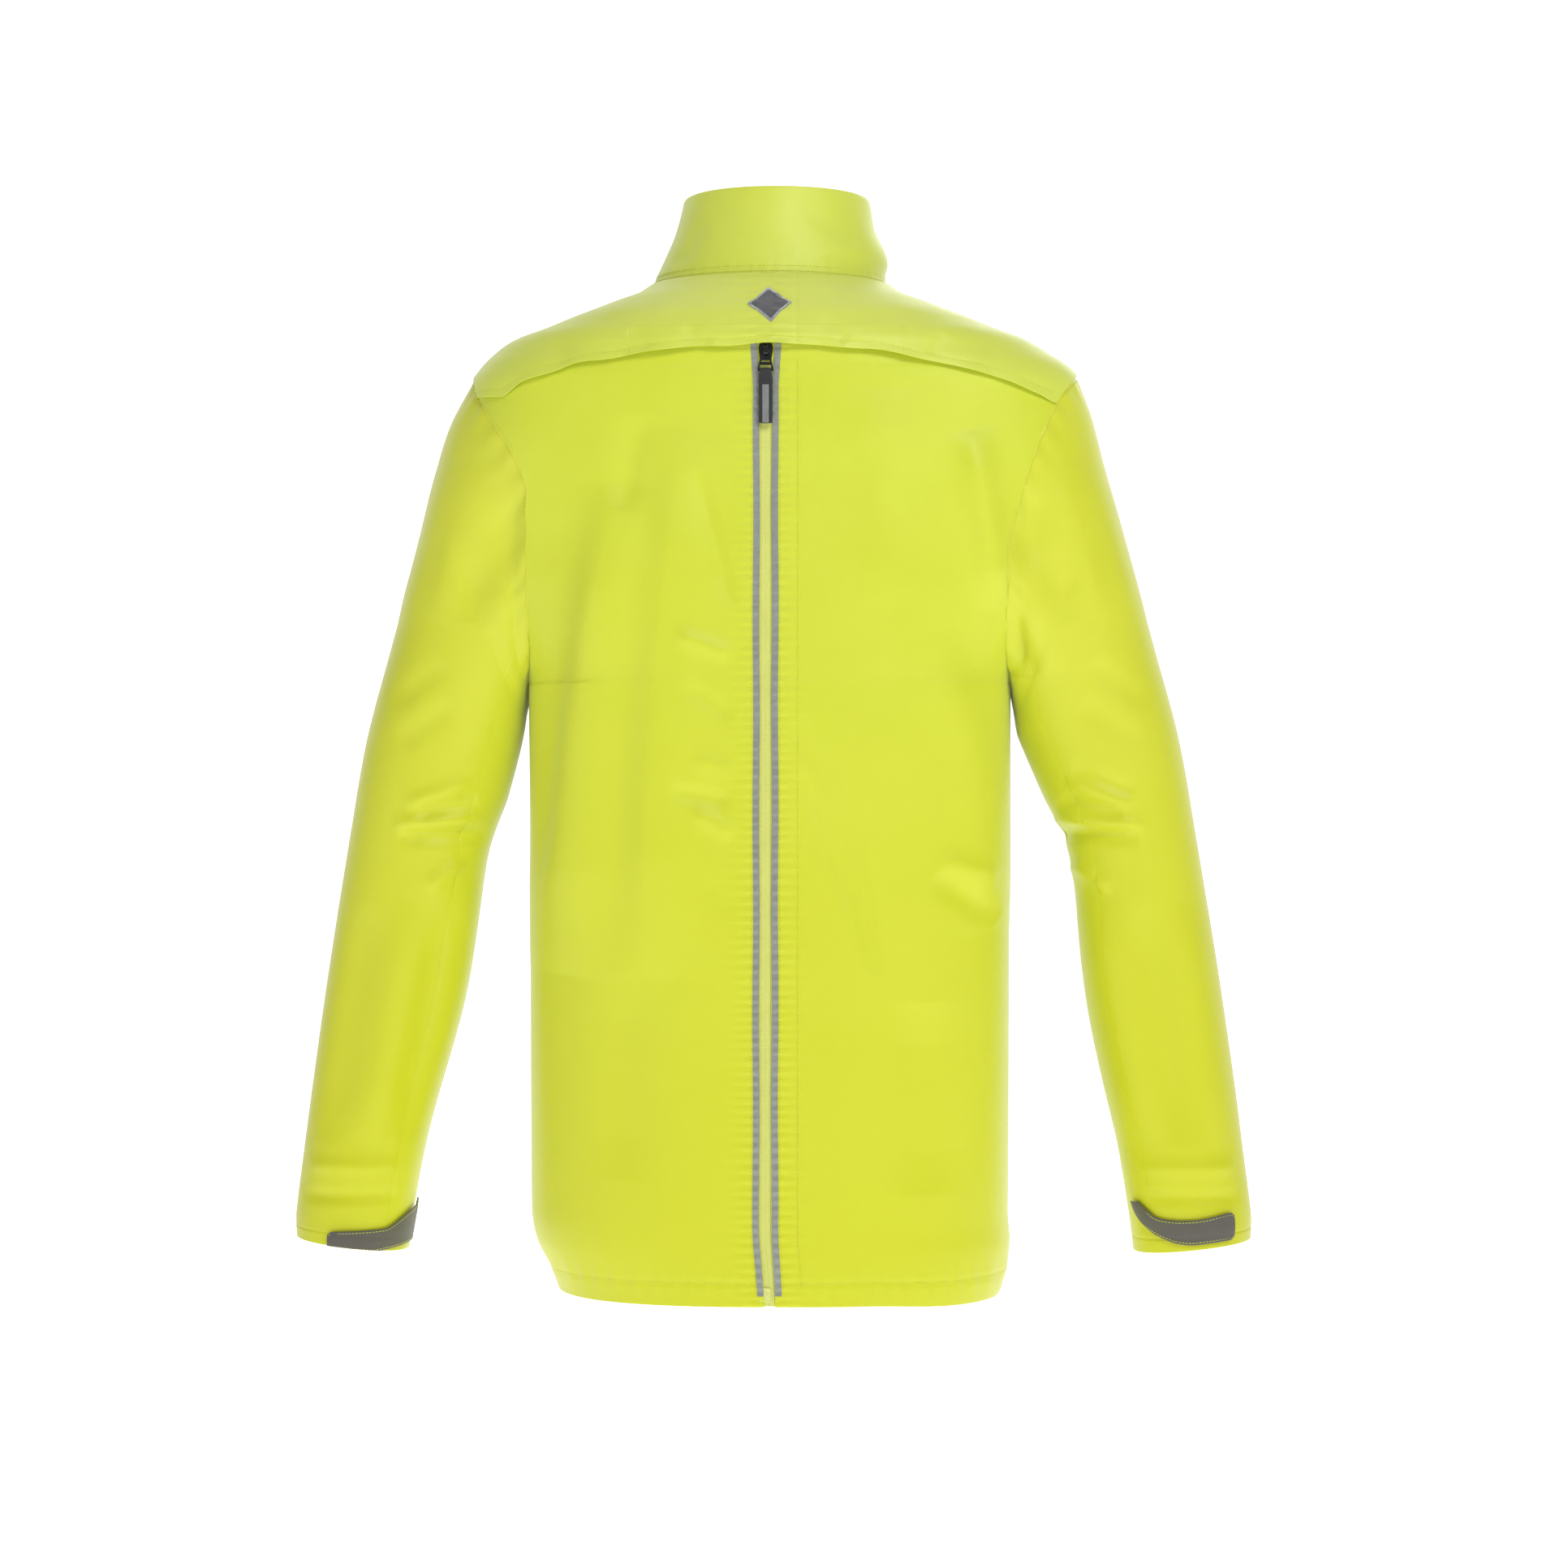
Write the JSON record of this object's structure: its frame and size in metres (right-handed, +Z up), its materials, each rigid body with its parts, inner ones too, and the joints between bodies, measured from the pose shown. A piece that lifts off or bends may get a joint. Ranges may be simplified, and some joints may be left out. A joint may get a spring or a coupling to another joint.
{
  "type": "rain jacket",
  "caption": "High-visibility waterproof jacket with stand collar, full back zip with reflective strips, yoke flap, front zip, hand pockets and cuff tabs.",
  "frame": {"origin": "centre of the jacket's box at the hem, where it stands", "axes": "+Z up from the hem, -Y to the wearer's back, +X to the wearer's right"},
  "size_m": [0.7332, 0.2723, 0.826],
  "materials": {
    "hi_vis_shell": "coated nylon, satin",
    "lining_cloth": "coated inside, matt",
    "zip_tape": "woven tape",
    "zip_coil": "nylon coil",
    "reflective_tape": "retroreflective silver-grey",
    "slider_metal": "gloss black",
    "black_webbing": "woven webbing",
    "zip_plastic": "moulded",
    "cuff_reflective": "reflective grey",
    "hook_loop": "hook and loop pile",
    "badge_rubber": "moulded, silver-grey rim"
  },
  "bodies": {
    "jacket": {"back_badge": "badge_rubber", "back_gusset": "lining_cloth", "back_insertion_pin": "zip_plastic", "back_panel_left": "hi_vis_shell", "back_panel_right": "hi_vis_shell", "back_retainer_box": "zip_plastic", "back_yoke": "hi_vis_shell", "back_zip_coil_left": "zip_coil", "back_zip_coil_right": "zip_coil", "back_zip_tape_left": "zip_tape", "back_zip_tape_right": "zip_tape", "collar_lining": "lining_cloth", "collar_outer": "hi_vis_shell", "front_insertion_pin": "zip_plastic", "front_panel_left": "hi_vis_shell", "front_panel_right": "hi_vis_shell", "front_placket": "lining_cloth", "front_retainer_box": "zip_plastic", "front_zip_coil_left": "zip_coil", "front_zip_coil_right": "zip_coil", "front_zip_tape_left": "zip_tape", "front_zip_tape_right": "zip_tape", "hanger_loop": "black_webbing", "hem_facing_left": "lining_cloth", "hem_facing_right": "lining_cloth", "pocket_bag_left": "lining_cloth", "pocket_bag_right": "lining_cloth", "pocket_zip_left_coil": "zip_coil", "pocket_zip_left_tape": "zip_tape", "pocket_zip_right_coil": "zip_coil", "pocket_zip_right_tape": "zip_tape", "reflective_strip_left": "reflective_tape", "reflective_strip_right": "reflective_tape"},
    "back_slider": {"back_slider": "slider_metal"},
    "back_puller": {"back_puller": "slider_metal"},
    "back_pull_tab": {"back_pull_tab": "black_webbing", "pull_tab_stripe": "reflective_tape"},
    "front_slider": {"front_slider": "slider_metal"},
    "front_puller": {"front_puller": "slider_metal"},
    "front_pull_tab": {"front_pull_tab": "black_webbing"},
    "yoke_flap": {"yoke_flap": "hi_vis_shell"},
    "pocket_slider_left": {"pocket_slider_left": "slider_metal"},
    "pocket_puller_left": {"pocket_puller_left": "slider_metal"},
    "sleeve_left": {"upper_sleeve_left": "hi_vis_shell", "under_sleeve_left": "hi_vis_shell", "cuff_hem_left": "lining_cloth", "cuff_loop_patch_left": "hook_loop"},
    "cuff_tab_left": {"cuff_tab_left": "cuff_reflective", "cuff_hook_patch_left": "hook_loop"},
    "pocket_slider_right": {"pocket_slider_right": "slider_metal"},
    "pocket_puller_right": {"pocket_puller_right": "slider_metal"},
    "sleeve_right": {"upper_sleeve_right": "hi_vis_shell", "under_sleeve_right": "hi_vis_shell", "cuff_hem_right": "lining_cloth", "cuff_loop_patch_right": "hook_loop"},
    "cuff_tab_right": {"cuff_tab_right": "cuff_reflective", "cuff_hook_patch_right": "hook_loop"}
  },
  "joints": [
    {"name": "back_zip_slide", "type": "slide", "parent": "jacket", "child": "back_slider", "axis": [0, -0.018, -0.9998], "range_m": [0, 0.675]},
    {"name": "back_puller_flip", "type": "hinge", "parent": "back_slider", "child": "back_puller", "pos_m": [0, -0.12737, 0.69601], "axis": [-1, 0, 0], "range_deg": [0, 120]},
    {"name": "back_pull_tab_swing", "type": "hinge", "parent": "back_puller", "child": "back_pull_tab", "pos_m": [0, -0.12763, 0.68186], "axis": [-1, 0, 0], "range_deg": [0, 75]},
    {"name": "front_zip_slide", "type": "slide", "parent": "jacket", "child": "front_slider", "axis": [0, 0.0748, -0.9972], "range_m": [0, 0.79]},
    {"name": "front_puller_flip", "type": "hinge", "parent": "front_slider", "child": "front_puller", "pos_m": [0, 0.07908, 0.81107], "axis": [1, 0, 0], "range_deg": [0, 120]},
    {"name": "front_pull_tab_swing", "type": "hinge", "parent": "front_puller", "child": "front_pull_tab", "pos_m": [0, 0.08014, 0.79695], "axis": [1, 0, 0], "range_deg": [0, 75]},
    {"name": "pocket_zip_slide_right", "type": "slide", "parent": "jacket", "child": "pocket_slider_right", "axis": [0.0259, 0.0631, -0.9977], "range_m": [0, 0.148]},
    {"name": "pocket_puller_flip_right", "type": "hinge", "parent": "pocket_slider_right", "child": "pocket_puller_right", "pos_m": [0.10944, 0.10547, 0.26795], "axis": [0.925, -0.3799, 0], "range_deg": [0, 120]},
    {"name": "pocket_zip_slide_left", "type": "slide", "parent": "jacket", "child": "pocket_slider_left", "axis": [-0.0259, 0.0631, -0.9977], "range_m": [0, 0.148]},
    {"name": "pocket_puller_flip_left", "type": "hinge", "parent": "pocket_slider_left", "child": "pocket_puller_left", "pos_m": [-0.10944, 0.10547, 0.26795], "axis": [0.925, 0.3799, 0], "range_deg": [0, 120]},
    {"name": "yoke_flap_lift", "type": "hinge", "parent": "jacket", "child": "yoke_flap", "pos_m": [0, -0.1231, 0.7166], "axis": [-1, 0, 0], "range_deg": [0, 30]},
    {"name": "sleeve_swing_right", "type": "hinge", "parent": "jacket", "child": "sleeve_right", "pos_m": [0.231, -0.016, 0.6835], "axis": [0, -1, 0], "range_deg": [0, 40]},
    {"name": "cuff_tab_peel_right", "type": "hinge", "parent": "sleeve_right", "child": "cuff_tab_right", "pos_m": [0.2737, -0.01359, 0.0387], "axis": [0.1297, 0.0142, -0.9915], "range_deg": [0, 100]},
    {"name": "sleeve_swing_left", "type": "hinge", "parent": "jacket", "child": "sleeve_left", "pos_m": [-0.231, -0.016, 0.6835], "axis": [0, 1, 0], "range_deg": [0, 40]},
    {"name": "cuff_tab_peel_left", "type": "hinge", "parent": "sleeve_left", "child": "cuff_tab_left", "pos_m": [-0.2737, -0.01359, 0.0387], "axis": [0.1297, -0.0142, 0.9915], "range_deg": [0, 100]}
  ]
}
